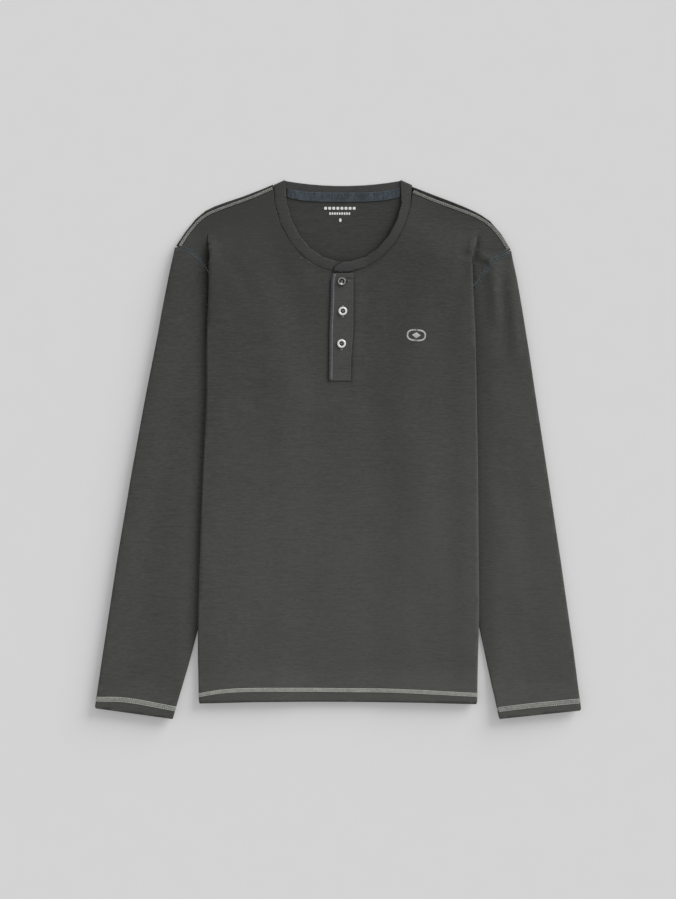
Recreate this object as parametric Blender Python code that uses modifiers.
"""A long-sleeved henley shirt, laid flat and face up on a table, with its sides folded behind it.

The collar is towards +Y and the table is the plane z = 0. Left and right are the wearer's, so the
right sleeve lies towards -X. "Out" is a distance from the middle plane x = 0, on either side.

How the cloth is folded: front and back lie on each other, and each side of the body is turned under
along an upright edge. Near the armhole the turned part is folded a second time, so that the sleeve
points down and out again. From the table up there are the sleeve (two layers), the turned side (two
layers), the back and the front. Each piece is an open surface with the thickness of the cloth.
"""
import math
from collections import namedtuple

import bmesh
import bpy

# ---- driving dimensions, in millimetres; points are turned to metres when a mesh is made ----

MM = 0.001
WALL = 1.0
GAP = 0.3
LAYER = WALL + GAP
FIRST_LAYER = WALL / 2
SECOND_LAYER = FIRST_LAYER + LAYER
PLACKET_LAYER = SECOND_LAYER + LAYER
BUTTON_BASE = PLACKET_LAYER + WALL / 2 + GAP
SEAM = GAP / 2

FOLD_TURN = math.tan(math.radians(22.5))
TIGHT_FOLD = LAYER / 2
WIDE_FOLD = 3 * LAYER / 2
FOLD_INSET = WIDE_FOLD + WALL / 2

Side = namedtuple("Side", "name sign turned_under")
RIGHT = Side(name="right", sign=-1, turned_under=73.0)
LEFT = Side(name="left", sign=1, turned_under=64.3)
SIDES = (RIGHT, LEFT)

# The upright edges of the body, from the hem to the place where the pleat at the armhole starts.
Level = namedtuple("Level", "y right left")
BODY_EDGE = (
    Level(y=-354.5, right=194.3, left=194.3),
    Level(y=-274.0, right=195.9, left=195.7),
    Level(y=-240.0, right=195.4, left=197.0),
    Level(y=-137.0, right=192.6, left=196.0),
    Level(y=-37.0, right=188.9, left=195.4),
    Level(y=69.0, right=183.8, left=193.5),
    Level(y=160.0, right=183.3, left=191.7),
    Level(y=216.0, right=180.6, left=188.9),
    Level(y=254.0, right=180.6, left=187.3),
    Level(y=279.0, right=180.6, left=190.0),
    Level(y=302.5, right=183.1, left=198.1),
)

# The second fold, hidden under the body, from the opened pleat to the underarm.
SECOND_FOLD = (
    Level(y=72.9, right=110.7, left=129.2),
    Level(y=131.7, right=119.5, left=142.7),
    Level(y=163.9, right=128.9, left=151.0),
    Level(y=194.7, right=140.5, left=160.9),
    Level(y=225.5, right=152.5, left=167.9),
    Level(y=262.0, right=166.7, left=174.9),
)

# The hem, across the body.
HemPoint = namedtuple("HemPoint", "x y")
HEM = (
    HemPoint(x=-200.0, y=-355.2),
    HemPoint(x=-95.0, y=-352.9),
    HemPoint(x=90.0, y=-353.6),
    HemPoint(x=200.0, y=-356.2),
)

# The forward shoulder seam, from the neck to the tip, and how far the shoulder fold lies behind it.
ShoulderPoint = namedtuple("ShoulderPoint", "out y behind")
SHOULDER = {
    RIGHT: (
        ShoulderPoint(out=90.8, y=366.8, behind=3.5),
        ShoulderPoint(out=122.9, y=353.2, behind=3.5),
        ShoulderPoint(out=155.0, y=341.5, behind=4.3),
        ShoulderPoint(out=181.7, y=330.7, behind=4.2),
        ShoulderPoint(out=196.8, y=319.6, behind=3.3),
        ShoulderPoint(out=210.8, y=302.3, behind=3.0),
        ShoulderPoint(out=223.3, y=282.1, behind=3.2),
    ),
    LEFT: (
        ShoulderPoint(out=104.0, y=361.2, behind=6.2),
        ShoulderPoint(out=131.6, y=349.4, behind=6.5),
        ShoulderPoint(out=161.7, y=338.2, behind=6.3),
        ShoulderPoint(out=188.4, y=328.0, behind=5.0),
        ShoulderPoint(out=209.9, y=315.7, behind=4.2),
        ShoulderPoint(out=225.5, y=298.8, behind=3.2),
        ShoulderPoint(out=238.7, y=277.1, behind=2.8),
    ),
}

# The sleeves lie flat. Each row runs from the inner edge (above the underarm, the armhole seam) to
# the outer edge. The first row is the shoulder tip, the last the cuff.
SleeveRow = namedtuple("SleeveRow", "inner_out inner_y outer_out outer_y")
SLEEVE = {
    RIGHT: (
        SleeveRow(inner_out=223.3, inner_y=282.1, outer_out=228.0, outer_y=281.4),
        SleeveRow(inner_out=203.1, inner_y=274.7, outer_out=230.7, outer_y=267.5),
        SleeveRow(inner_out=194.0, inner_y=264.7, outer_out=233.2, outer_y=256.3),
        SleeveRow(inner_out=184.9, inner_y=253.5, outer_out=236.3, outer_y=241.6),
        SleeveRow(inner_out=169.5, inner_y=226.9, outer_out=241.6, outer_y=214.3),
        SleeveRow(inner_out=152.7, inner_y=194.7, outer_out=246.0, outer_y=191.9),
        SleeveRow(inner_out=140.1, inner_y=163.9, outer_out=251.4, outer_y=161.1),
        SleeveRow(inner_out=128.9, inner_y=131.7, outer_out=257.2, outer_y=131.7),
        SleeveRow(inner_out=110.7, inner_y=72.9, outer_out=268.9, outer_y=72.2),
        SleeveRow(inner_out=140.1, inner_y=-37.7, outer_out=288.0, outer_y=-32.8),
        SleeveRow(inner_out=173.2, inner_y=-165.1, outer_out=307.7, outer_y=-150.4),
        SleeveRow(inner_out=206.6, inner_y=-292.5, outer_out=327.2, outer_y=-278.5),
        SleeveRow(inner_out=230.4, inner_y=-376.4, outer_out=339.4, outer_y=-361.5),
    ),
    LEFT: (
        SleeveRow(inner_out=238.7, inner_y=277.1, outer_out=241.9, outer_y=277.0),
        SleeveRow(inner_out=226.0, inner_y=268.5, outer_out=244.0, outer_y=264.7),
        SleeveRow(inner_out=212.0, inner_y=257.9, outer_out=246.1, outer_y=254.9),
        SleeveRow(inner_out=201.5, inner_y=243.7, outer_out=249.1, outer_y=240.9),
        SleeveRow(inner_out=187.3, inner_y=224.7, outer_out=252.7, outer_y=221.3),
        SleeveRow(inner_out=174.9, inner_y=197.5, outer_out=257.0, outer_y=196.1),
        SleeveRow(inner_out=163.7, inner_y=166.7, outer_out=262.2, outer_y=163.9),
        SleeveRow(inner_out=152.5, inner_y=131.7, outer_out=267.4, outer_y=131.7),
        SleeveRow(inner_out=129.2, inner_y=72.9, outer_out=276.2, outer_y=72.2),
        SleeveRow(inner_out=152.7, inner_y=-37.7, outer_out=292.3, outer_y=-32.8),
        SleeveRow(inner_out=179.6, inner_y=-165.1, outer_out=310.1, outer_y=-150.4),
        SleeveRow(inner_out=206.6, inner_y=-292.5, outer_out=328.4, outer_y=-278.5),
        SleeveRow(inner_out=224.7, inner_y=-376.4, outer_out=339.4, outer_y=-364.6),
    ),
}
UNDERARM_ROW = 8

# The neck is the lower half of an ellipse. The band lies between it and a smaller one.
Ellipse = namedtuple("Ellipse", "x y half_width depth")
NECK_SEAM = Ellipse(x=6.6, y=368.3, half_width=97.4, depth=121.1)
NECK_EDGE = Ellipse(x=8.7, y=368.3, half_width=82.5, depth=106.4)
NECK_ANGLES_RIGHT = (180.0, 166.5, 153.0, 139.0, 125.0, 111.0)
NECK_ANGLES_LEFT = (69.0, 55.0, 41.0, 27.0, 13.5, 0.0)

# The back neck: the seam is flat in the middle and rises to the shoulders, the band's edge sags.
BACK_SEAM_LOW = 352.4
BACK_SEAM_RISE = 15.5
BACK_EDGE_X = 6.5
BACK_EDGE_HALF_WIDTH = 80.8
BACK_EDGE_LOW = 368.1
BACK_EDGE_RISE = 7.2
CREASE_SEAM_INSET = 0.8
TAPE_HEIGHT = 13.0
TAPE_RIGHT_END = -71.6
TAPE_LEFT_END = 87.0

# The placket lies on the front and covers the slit with the button stand in it.
SLIT_RIGHT = -6.0
SLIT_LEFT = 16.0
SLIT_END = 97.7
PlacketRow = namedtuple("PlacketRow", "y right left")
PLACKET = (
    PlacketRow(y=246.4, right=-6.8, left=21.6),
    PlacketRow(y=237.0, right=-9.7, left=21.6),
    PlacketRow(y=204.5, right=-10.6, left=21.6),
    PlacketRow(y=166.7, right=-12.2, left=21.4),
    PlacketRow(y=129.0, right=-12.6, left=18.6),
    PlacketRow(y=95.6, right=-12.9, left=17.8),
)
STRIP_SIDE_GAP = 0.4
BAND_UNDER_END = 12.0
BAND_OVER_END = -6.6
BAND_CORNER_RADIUS = 11.0
BAND_ACROSS = (0.0, 0.3, 0.65, 1.0)

# Buttons: a turned disc with a rounded rim, a sunk middle and four holes.
BUTTON_RADIUS = 6.1
BUTTON_THICKNESS = 2.2
BUTTON_RIM = 3.2
BUTTON_SUNK = 0.9
BUTTON_STEPS = 24
HOLE_RADIUS = 0.65
HOLE_SPREAD = 1.45
HOLE_SIDES = 8
ButtonPlace = namedtuple("ButtonPlace", "name x y")
BUTTONS = (
    ButtonPlace(name="button_top", x=5.2, y=234.5),
    ButtonPlace(name="button_middle", x=6.6, y=192.9),
    ButtonPlace(name="button_bottom", x=4.9, y=147.4),
)

# Where the rows of the two big panels run: level rows up to CHEST_ROW, then rows that fan out to
# the shoulder seams and the neck, as shares of the way there.
CHEST_ROW = 225.5
SECOND_FOLD_ROWS = (CHEST_ROW, 194.7, 163.9, 131.7)
SECOND_FOLD_ENDS = SECOND_FOLD_ROWS[-1]
LEVEL_ROWS = (-354.5, -322.0, -290.0, -258.0, -205.0, -150.0, -95.0, -40.0, 15.0, 50.0,
              72.9, SLIT_END) + SECOND_FOLD_ROWS[::-1]
PLEAT_OPEN = 0.347
PLEAT_UNDER = 0.507
PLEAT_MIDDLE = 0.62
PLEAT_START = 0.733
CORNER_LOW = 0.87
CORNER_HIGH = 0.935
FAN_ROWS = (PLEAT_OPEN, PLEAT_UNDER, PLEAT_MIDDLE, PLEAT_START, CORNER_LOW, CORNER_HIGH, 1.0)
TURNED_SHARES = (0.0, 0.16, 0.4, 0.68, 1.0)
SLEEVE_ACROSS = (0.0, 0.33, 0.67, 1.0)

# Cloth that comes off the edge of a lower layer keeps its height for a while, then comes down.
LIFT_HOLD = 32.0
LIFT_RUN = 30.0
SLEEVE_LEAVES_BODY = -258.0
HEM_IS_DOWN = -348.0


# ---- reading the tables ----

def smooth(share):
    """0 to 1 with level ends."""
    share = min(max(share, 0.0), 1.0)
    return share * share * (3 - 2 * share)


def between(start, end, share):
    return start + (end - start) * share


def curve(rows, along, column, place):
    """A named column of a table at a place along another, on a smooth curve through the rows."""
    places = [getattr(row, along) for row in rows]
    values = [getattr(row, column) for row in rows]
    if place <= places[0]:
        return values[0]
    if place >= places[-1]:
        return values[-1]
    i = max(k for k in range(len(places) - 1) if places[k] <= place)
    width = places[i + 1] - places[i]

    def slope(k):
        low = max(k - 1, 0)
        high = min(k + 1, len(places) - 1)
        return (values[high] - values[low]) / (places[high] - places[low])

    t = (place - places[i]) / width
    rise = width * (slope(i) * t * (1 - t) ** 2 - slope(i + 1) * t * t * (1 - t))
    return between(values[i], values[i + 1], smooth(t)) + rise


def body_edge(side, y):
    return curve(BODY_EDGE, "y", side.name, y)


def second_fold(side, y):
    return curve(SECOND_FOLD, "y", side.name, y)


def turned_end(side, y):
    """Where the part that is turned under ends: at the second fold, or below it at the side seam."""
    if y >= SECOND_FOLD[0].y:
        return second_fold(side, y)
    return body_edge(side, y) - side.turned_under


def sleeve_inner_edge(side, y):
    """The inner edge of the sleeve where it lies under the body, or the second fold above it."""
    if y >= SECOND_FOLD[0].y:
        return second_fold(side, y)
    rows = SLEEVE[side][UNDERARM_ROW:]
    for upper, lower in zip(rows, rows[1:]):
        if y >= lower.inner_y:
            return between(lower.inner_out, upper.inner_out,
                           (y - lower.inner_y) / (upper.inner_y - lower.inner_y))
    return rows[-1].inner_out


def shoulder_seam(side, out):
    return curve(SHOULDER[side], "out", "y", out)


def on_ellipse(ellipse, degrees, outward=0.0):
    angle = math.radians(degrees)
    return (ellipse.x + (ellipse.half_width + outward) * math.cos(angle),
            ellipse.y - (ellipse.depth + outward) * math.sin(angle))


def neck_angle_at(x):
    return math.degrees(math.acos((x - NECK_SEAM.x) / NECK_SEAM.half_width))


def edge_height(side, share):
    """Height of a fan row at the body's edge."""
    top = shoulder_seam(side, body_edge(side, BODY_EDGE[-1].y)) - SEAM
    return between(CHEST_ROW, top, share)


# ---- the stack of layers ----

def pleat_heights(side):
    """Where the pleat at the armhole starts, where it has cloth under it, and where it is open."""
    return [edge_height(side, share) for share in (PLEAT_START, PLEAT_UNDER, PLEAT_OPEN)]


def past_edge(distance):
    """How much of a lower layer's height is left this far past its edge."""
    return 1 - smooth((distance - LIFT_HOLD) / LIFT_RUN)


def sleeve_lift(side, out, y):
    start, under, _ = pleat_heights(side)
    grown = smooth((start - y) / (start - under))
    down = smooth((y - HEM_IS_DOWN) / (SLEEVE_LEAVES_BODY - HEM_IS_DOWN))
    return 2 * LAYER * grown * down * past_edge(sleeve_inner_edge(side, y) - out)


def turned_lift(side, out, y):
    _, under, opened = pleat_heights(side)
    grown = smooth((under - y) / (under - opened))
    return 2 * LAYER * grown * past_edge(turned_end(side, y) - out)


def body_lift(x, y):
    side = LEFT if x > 0 else RIGHT
    out = abs(x)
    return sleeve_lift(side, out, y) + turned_lift(side, out, y)


def fold_profile(radius):
    """A half turn of cloth about a fold, as (out, up) from its middle: three flats, top to bottom."""
    short = radius * FOLD_TURN
    return ((short, radius), (radius, short), (radius, -short), (short, -radius))


def moved_along_normal(points, distance):
    """A flat line of points moved sideways, to the left of its direction."""
    moved = []
    for i, (x, y) in enumerate(points):
        x0, y0 = points[max(i - 1, 0)]
        x1, y1 = points[min(i + 1, len(points) - 1)]
        length = math.hypot(x1 - x0, y1 - y0)
        moved.append((x - (y1 - y0) / length * distance, y + (x1 - x0) / length * distance))
    return moved


# ---- making objects ----

def material(name, colour, roughness, metallic=0.0):
    made = bpy.data.materials.new(name)
    made.use_nodes = True
    shader = made.node_tree.nodes["Principled BSDF"]
    shader.inputs["Base Color"].default_value = (*colour, 1.0)
    shader.inputs["Roughness"].default_value = roughness
    shader.inputs["Metallic"].default_value = metallic
    made.diffuse_color = (*colour, 1.0)
    return made


def mesh_object(name, bm, finish, collection):
    mesh = bpy.data.meshes.new(name)
    bm.to_mesh(mesh)
    bm.free()
    mesh.materials.append(finish)
    made = bpy.data.objects.new(name, mesh)
    collection.objects.link(made)
    return made


def cloth_object(name, strips, finish, collection):
    """One piece of cloth from strips, each a grid of points, joined where their points meet."""
    bm = bmesh.new()
    for strip in strips:
        grid = [[None if p is None else bm.verts.new([c * MM for c in p]) for p in row] for row in strip]
        for row, next_row in zip(grid, grid[1:]):
            for i in range(min(len(row), len(next_row)) - 1):
                corners = (row[i], row[i + 1], next_row[i + 1], next_row[i])
                if None not in corners:
                    bm.faces.new(corners)
    bmesh.ops.remove_doubles(bm, verts=bm.verts, dist=0.00001)
    bmesh.ops.delete(bm, geom=[v for v in bm.verts if not v.link_faces], context="VERTS")
    bmesh.ops.recalc_face_normals(bm, faces=bm.faces)
    made = mesh_object(name, bm, finish, collection)
    split = made.modifiers.new("Split", "TRIANGULATE")
    split.quad_method = "FIXED"
    thick = made.modifiers.new("Cloth thickness", "SOLIDIFY")
    thick.thickness = WALL * MM
    thick.offset = 0.0
    thick.use_even_offset = True
    return made


# ---- front and back ----

def side_columns(side, y, edge_inset):
    """Places of the columns from the body's edge to the end of the turned part, as distances out."""
    edge = body_edge(side, y)
    columns = [edge - side.turned_under * share for share in TURNED_SHARES]
    columns[0] = edge - edge_inset
    return columns


def neck_columns():
    right = [on_ellipse(NECK_SEAM, angle, SEAM)[0] for angle in NECK_ANGLES_RIGHT]
    left = [on_ellipse(NECK_SEAM, angle, SEAM)[0] for angle in NECK_ANGLES_LEFT]
    return right + [SLIT_RIGHT, SLIT_LEFT] + left


def top_of_front(x):
    """Where the front ends above a place: at a shoulder seam or at the neck seam."""
    if x < NECK_SEAM.x - NECK_SEAM.half_width:
        return shoulder_seam(RIGHT, -x) - SEAM
    if x > NECK_SEAM.x + NECK_SEAM.half_width:
        return shoulder_seam(LEFT, x) - SEAM
    across = (x - NECK_SEAM.x) / (NECK_SEAM.half_width + SEAM)
    return NECK_SEAM.y - (NECK_SEAM.depth + SEAM) * math.sqrt(max(0.0, 1 - across * across))


def edge_inset(fan_share, folded_inset):
    """From the start of the pleat the edge is a slit, below its opening a fold."""
    if fan_share is None or fan_share <= PLEAT_OPEN:
        return folded_inset
    return SEAM if fan_share < PLEAT_START else 0.0


def panel_row(layer, fold_radius, level=None, fan_share=None):
    """One row of a big panel, from its right edge to its left edge, as points with heights."""
    inset = edge_inset(fan_share, FOLD_INSET - fold_radius * FOLD_TURN)
    heights = {side: level if level is not None else edge_height(side, fan_share) for side in SIDES}
    right = [-out for out in side_columns(RIGHT, heights[RIGHT], inset)]
    left = [out for out in reversed(side_columns(LEFT, heights[LEFT], inset))]
    places = right + neck_columns() + left
    if fan_share is not None:
        ys = [between(CHEST_ROW, top_of_front(x), fan_share) for x in places]
        ys[0] = heights[RIGHT]
        ys[-1] = heights[LEFT]
    elif level == LEVEL_ROWS[0]:
        ys = [curve(HEM, "x", "y", x) for x in places]
    else:
        ys = [level] * len(places)
    return [(x, y, layer + body_lift(x, y)) for x, y in zip(places, ys)]


def panel_rows(layer, fold_radius):
    rows = [panel_row(layer, fold_radius, level=level) for level in LEVEL_ROWS]
    return rows + [panel_row(layer, fold_radius, fan_share=share) for share in FAN_ROWS]


def with_slit(rows):
    """Leaves out the cells between the two edges of the placket slit, above its end."""
    right_edge = len(TURNED_SHARES) + len(NECK_ANGLES_RIGHT)
    end = LEVEL_ROWS.index(SLIT_END)
    right_part = [row[:right_edge + 1] for row in rows]
    left_part = [row[right_edge + 1:] for row in rows]
    bridge = [row[right_edge:right_edge + 2] for row in rows[:end + 1]]
    return [right_part, left_part, bridge]


def turned_rows(side, rows, fold_radius, under_layer):
    """The edge fold of a big panel and the part that is turned under, row by row from the hem."""
    column = 0 if side is RIGHT else -1
    folds = []
    unders = []
    for row in rows[:len(LEVEL_ROWS) + FAN_ROWS.index(PLEAT_OPEN) + 1]:
        x, y, top = row[column]
        middle_out = abs(x) - fold_radius * FOLD_TURN
        middle_up = top - fold_radius
        profile = fold_profile(fold_radius)
        folds.append([(side.sign * (middle_out + out), y, middle_up + up) for out, up in profile])
        end = turned_end(side, y)
        if y > SECOND_FOLD_ENDS - 1:
            end += FOLD_INSET - (WIDE_FOLD + TIGHT_FOLD - fold_radius) * FOLD_TURN
        outs = [between(middle_out + fold_radius * FOLD_TURN, end, share) for share in TURNED_SHARES]
        unders.append([(side.sign * out, y, under_layer + sleeve_lift(side, out, y)) for out in outs])
    return folds, unders


def armhole_line(side, distance):
    """The armhole seam from the shoulder tip down, moved off by half a seam gap."""
    points = [(side.sign * row.inner_out, row.inner_y) for row in SLEEVE[side][:UNDERARM_ROW + 1]]
    return moved_along_normal(points, distance * side.sign)


def corner_rows(side, rows, layer, second_radius):
    """The shoulder corner, and below it the strip that runs on behind the body to the armhole seam.

    Its inner points follow the panel's edge down to the pleat and then the second fold.
    """
    column = 0 if side is RIGHT else -1
    inner = {share: rows[len(LEVEL_ROWS) + i][column][:2] for i, share in enumerate(FAN_ROWS)}
    shoulder = [(side.sign * row.out, row.y - SEAM) for row in SHOULDER[side][-3:-1]]
    seam = armhole_line(side, -SEAM)
    slit = [(inner[share][0] + side.sign * GAP, inner[share][1]) for share in (PLEAT_MIDDLE, PLEAT_UNDER)]
    inset = FOLD_INSET - second_radius * FOLD_TURN
    heights = (edge_height(side, PLEAT_OPEN),) + SECOND_FOLD_ROWS
    fold = [(side.sign * (second_fold(side, y) + inset), y) for y in heights]
    inside = [inner[1.0], inner[CORNER_HIGH], inner[CORNER_LOW], inner[PLEAT_START]] + slit + fold
    outside = [inner[1.0]] + shoulder + seam[:UNDERARM_ROW]
    return [[(between(a[0], b[0], t), between(a[1], b[1], t), layer) for t in (0.0, 0.5, 1.0)]
            for a, b in zip(inside, outside)]


def second_fold_rows(side, unders, corner, radius):
    """The fold that joins the turned part to the strip behind it."""
    turned = [unders[-1]] + [unders[LEVEL_ROWS.index(y)] for y in SECOND_FOLD_ROWS]
    folds = []
    for upper_row, lower_row in zip(turned, corner[-len(turned):]):
        x, y, top = upper_row[-1]
        middle_out = abs(x) + radius * FOLD_TURN
        middle_up = (top + lower_row[0][2]) / 2
        profile = fold_profile(radius)
        folds.append([(side.sign * (middle_out - out), y, middle_up + up) for out, up in profile])
    return folds


def front_panel(collection):
    rows = panel_rows(SECOND_LAYER, WIDE_FOLD)
    strips = with_slit(rows)
    for side in SIDES:
        folds, unders = turned_rows(side, rows, WIDE_FOLD, FIRST_LAYER)
        corner = corner_rows(side, rows, SECOND_LAYER, TIGHT_FOLD)
        strips += [folds, unders, corner, second_fold_rows(side, unders, corner, TIGHT_FOLD)]
    finish = material("front jersey", (0.054, 0.053, 0.049), 0.9)
    return cloth_object("front_panel", strips, finish, collection)


def back_neck_seam(x):
    across = (x - NECK_SEAM.x) / NECK_SEAM.half_width
    return BACK_SEAM_LOW + BACK_SEAM_RISE * min(1.0, across ** 4)


def back_neck_rows(rows):
    """The part of the back that shows in the neck, from the front's neck seam to its own."""
    first = len(TURNED_SHARES)
    low = rows[-1][first:-first]
    return [[(x, between(y, back_neck_seam(x) - SEAM, share), FIRST_LAYER) for x, y, _ in low]
            for share in (0.0, 0.33, 0.67, 1.0)]


def shoulder_wrap(side, rows, corner):
    """The back's edge that comes over the shoulder and ends at the forward seam.

    At its neck end it is cut straight up along the side of the neckband.
    """
    neck_corner = len(TURNED_SHARES)
    top = rows[-1] if side is RIGHT else rows[-1][::-1]
    line = [point[:2] for point in top[neck_corner::-1]] + [row[-1][:2] for row in corner[1:4]]
    behind = [curve(SHOULDER[side], "out", "behind", abs(x)) for x, _ in line]
    wrap = []
    for i, (x, y) in enumerate(line):
        middle = behind[i] - TIGHT_FOLD - WALL / 2
        row = [(x, y, FIRST_LAYER)]
        for out, up in reversed(fold_profile(TIGHT_FOLD)):
            fold_x, fold_y = moved_along_normal(line, side.sign * (middle + out))[i]
            row.append((fold_x if i > 0 else x, fold_y, FIRST_LAYER + TIGHT_FOLD + up))
        row.append((x, y + GAP, SECOND_LAYER))
        wrap.append(row)
    return wrap


def back_panel(collection):
    rows = panel_rows(FIRST_LAYER, TIGHT_FOLD)
    strips = [rows, back_neck_rows(rows)]
    for side in SIDES:
        folds, unders = turned_rows(side, rows, TIGHT_FOLD, SECOND_LAYER)
        corner = corner_rows(side, rows, FIRST_LAYER, WIDE_FOLD)
        strips += [folds, unders, corner, second_fold_rows(side, unders, corner, WIDE_FOLD),
                   shoulder_wrap(side, rows, corner)]
    finish = material("back jersey", (0.043, 0.043, 0.041), 0.9)
    return cloth_object("back_panel", strips, finish, collection)


# ---- sleeves ----

def sleeve(side, collection):
    """A flat tube below the underarm; above it the two layers end at the armhole seam."""
    seam = armhole_line(side, SEAM)
    profile = fold_profile(TIGHT_FOLD)
    fold_inset = TIGHT_FOLD + WALL / 2
    middle_up = FIRST_LAYER + TIGHT_FOLD
    layers = []
    inner_fold = []
    for i, row in enumerate(SLEEVE[side]):
        inner = seam[i] if i < UNDERARM_ROW else (side.sign * (row.inner_out + fold_inset), row.inner_y)
        outer = (side.sign * (row.outer_out - fold_inset), row.outer_y)
        lower = [(between(inner[0], outer[0], t), between(inner[1], outer[1], t), FIRST_LAYER)
                 for t in SLEEVE_ACROSS]
        fold = [(outer[0] + side.sign * out, outer[1], middle_up + up) for out, up in reversed(profile)]
        upper = [(x, y, SECOND_LAYER) for x, y, _ in reversed(lower)]
        layers.append(lower[:-1] + fold + upper[1:])
        if i >= UNDERARM_ROW:
            turn = [(inner[0] - side.sign * out, inner[1], middle_up + up) for out, up in profile[1:-1]]
            inner_fold.append([upper[-1]] + turn + [lower[0]])
    finish = material(f"{side.name} sleeve jersey", (0.056, 0.055, 0.051), 0.9)
    return cloth_object(f"sleeve_{side.name}", [layers, inner_fold], finish, collection)


# ---- neck ----

def across_band(outer, inner, height):
    return [(between(outer[0], inner[0], t), between(outer[1], inner[1], t), height) for t in BAND_ACROSS]


def front_band_row(degrees, height):
    return across_band(on_ellipse(NECK_SEAM, degrees, -SEAM), on_ellipse(NECK_EDGE, degrees), height)


def back_band_row(degrees):
    across = math.cos(math.radians(degrees))
    outer_x = NECK_SEAM.x + (NECK_SEAM.half_width - SEAM) * across
    inner = (BACK_EDGE_X + BACK_EDGE_HALF_WIDTH * across, BACK_EDGE_LOW + BACK_EDGE_RISE * across ** 2)
    return across_band((outer_x, back_neck_seam(outer_x) + SEAM), inner, FIRST_LAYER)


def crease_rows(side):
    """The band's fold where it goes over the shoulder, from its upper layer to its lower one."""
    outer = (NECK_SEAM.x + side.sign * (NECK_SEAM.half_width - CREASE_SEAM_INSET), NECK_SEAM.y - SEAM)
    inner = (BACK_EDGE_X + side.sign * BACK_EDGE_HALF_WIDTH, BACK_EDGE_LOW + BACK_EDGE_RISE)
    rows = []
    for out, up in fold_profile(TIGHT_FOLD):
        moved = moved_along_normal([outer, inner], -side.sign * out)
        rows.append(across_band(*moved, FIRST_LAYER + TIGHT_FOLD + up))
    return rows


def over_end_row(height):
    """The band's last row, whose upper corner is rounded."""
    low = on_ellipse(NECK_SEAM, neck_angle_at(BAND_OVER_END), -SEAM)[1]
    high = on_ellipse(NECK_EDGE, 90.0)[1]
    row = []
    for share in BAND_ACROSS:
        y = between(low, high, share)
        rise = max(0.0, y - (high - BAND_CORNER_RADIUS))
        back = BAND_CORNER_RADIUS - math.sqrt(BAND_CORNER_RADIUS ** 2 - rise ** 2)
        row.append((BAND_OVER_END + back, y, height))
    return row


def neckband(collection):
    slit_right = neck_angle_at(SLIT_RIGHT)
    slit_left = neck_angle_at(SLIT_LEFT)
    right = [neck_angle_at(BAND_UNDER_END), slit_right] + list(reversed(NECK_ANGLES_RIGHT[1:]))
    left = list(reversed(NECK_ANGLES_LEFT[:-1]))
    back = list(NECK_ANGLES_RIGHT[1:]) + [slit_right, slit_left] + list(NECK_ANGLES_LEFT[:-1])
    rows = [front_band_row(angle, SECOND_LAYER) for angle in right]
    rows += crease_rows(RIGHT)
    rows += [back_band_row(angle) for angle in back]
    rows += list(reversed(crease_rows(LEFT)))
    rows += [front_band_row(angle, SECOND_LAYER) for angle in left]
    rows += [front_band_row(angle, PLACKET_LAYER) for angle in (slit_left, 90.0)]
    rows.append(over_end_row(PLACKET_LAYER))
    finish = material("neckband jersey", (0.06, 0.059, 0.056), 0.9)
    return cloth_object("neckband", [rows], finish, collection)


def neck_tape(collection):
    inner = [x for x in neck_columns() if TAPE_RIGHT_END + 2 < x < TAPE_LEFT_END - 2]
    rows = []
    for x in [TAPE_RIGHT_END] + inner + [TAPE_LEFT_END]:
        y = back_neck_seam(x)
        rows.append([(x, y + rise, SECOND_LAYER) for rise in (-TAPE_HEIGHT / 2, 0.0, TAPE_HEIGHT / 2)])
    finish = material("woven neck tape", (0.045, 0.06, 0.07), 0.85)
    return cloth_object("neck_tape", [rows], finish, collection)


# ---- placket ----

def placket(collection):
    rows = [[(row.right, row.y, PLACKET_LAYER), ((row.right + row.left) / 2, row.y, PLACKET_LAYER),
             (row.left, row.y, PLACKET_LAYER)] for row in PLACKET]
    finish = material("placket jersey", (0.056, 0.055, 0.051), 0.9)
    return cloth_object("placket", [rows], finish, collection)


def button_stand(collection):
    places = (SLIT_RIGHT + STRIP_SIDE_GAP, SLIT_LEFT - STRIP_SIDE_GAP)
    heights = (SLIT_END + STRIP_SIDE_GAP, PLACKET[3].y, PLACKET[0].y)
    rows = [[(x, y, SECOND_LAYER) for x in places] for y in heights]
    finish = material("button stand jersey", (0.05, 0.049, 0.046), 0.9)
    return cloth_object("button_stand", [rows], finish, collection)


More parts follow.
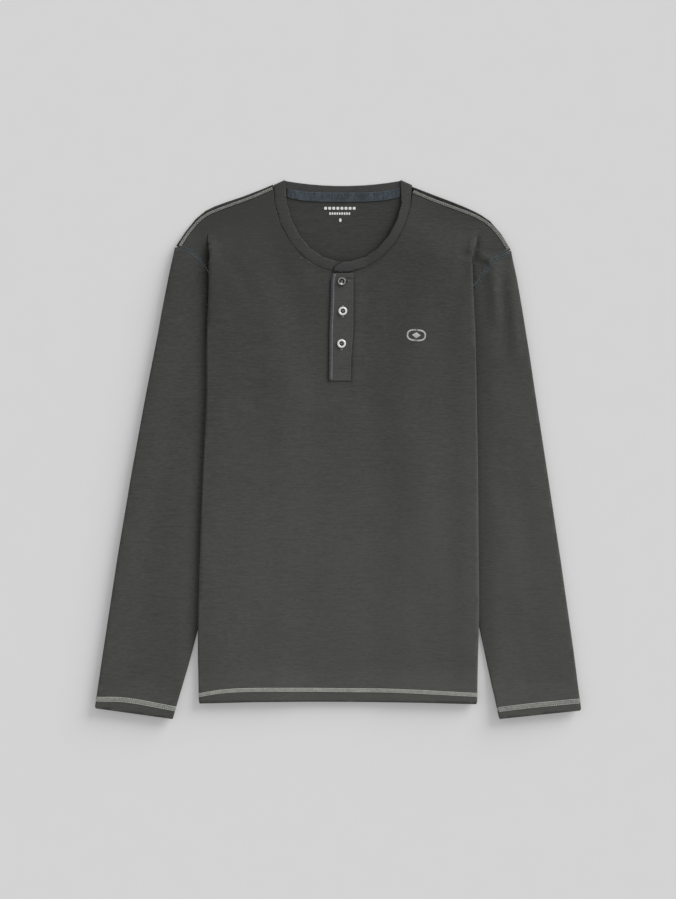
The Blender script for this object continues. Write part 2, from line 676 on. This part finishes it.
def button_profile():
    """Half section of a button, from the middle of its face over the rim to the middle of its back."""
    top = BUTTON_THICKNESS
    sunk = top - BUTTON_SUNK
    inner = BUTTON_RADIUS - BUTTON_RIM
    return ((0.0, sunk), (inner - 0.5, sunk), (inner + 0.2, top - 0.2), (inner + 0.8, top),
            (BUTTON_RADIUS - 0.5, top - 0.1), (BUTTON_RADIUS, top - 0.7), (BUTTON_RADIUS - 0.3, 0.4),
            (BUTTON_RADIUS - 1.1, 0.0), (0.0, 0.0))


def button_holes(place, cutters):
    """Four round bars that cut the thread holes."""
    bm = bmesh.new()
    for turn in range(4):
        angle = math.radians(45 + 90 * turn)
        bar = bmesh.ops.create_cone(bm, cap_ends=True, segments=HOLE_SIDES, radius1=HOLE_RADIUS * MM,
                                    radius2=HOLE_RADIUS * MM, depth=2 * BUTTON_THICKNESS * MM)
        move = (HOLE_SPREAD * math.cos(angle) * MM, HOLE_SPREAD * math.sin(angle) * MM,
                BUTTON_THICKNESS / 2 * MM)
        bmesh.ops.translate(bm, vec=move, verts=bar["verts"])
    cutter = mesh_object(place.name + "_holes", bm, material("cutter", (1, 0, 0), 1.0), cutters)
    cutter.hide_render = True
    cutter.display_type = "WIRE"
    return cutter


def button(place, collection, cutters):
    bm = bmesh.new()
    points = [bm.verts.new((out * MM, 0.0, up * MM)) for out, up in button_profile()]
    for start, end in zip(points, points[1:]):
        bm.edges.new((start, end))
    finish = material(place.name + " shell", (0.55, 0.55, 0.56), 0.25, 0.6)
    made = mesh_object(place.name, bm, finish, collection)
    turned = made.modifiers.new("Turn", "SCREW")
    turned.steps = BUTTON_STEPS
    turned.render_steps = BUTTON_STEPS
    turned.use_merge_vertices = True
    turned.merge_threshold = 0.00001
    cutter = button_holes(place, cutters)
    holes = made.modifiers.new("Holes", "BOOLEAN")
    holes.operation = "DIFFERENCE"
    holes.solver = "EXACT"
    holes.object = cutter
    for thing in (made, cutter):
        thing.location = (place.x * MM, place.y * MM, BUTTON_BASE * MM)
    return made


def main():
    for old in list(bpy.data.objects):
        bpy.data.objects.remove(old)
    shirt = bpy.data.collections.new("henley_shirt")
    cutters = bpy.data.collections.new("cutters")
    for collection in (shirt, cutters):
        bpy.context.scene.collection.children.link(collection)
    front_panel(shirt)
    back_panel(shirt)
    for side in SIDES:
        sleeve(side, shirt)
    neckband(shirt)
    neck_tape(shirt)
    placket(shirt)
    button_stand(shirt)
    for place in BUTTONS:
        button(place, shirt, cutters)


main()
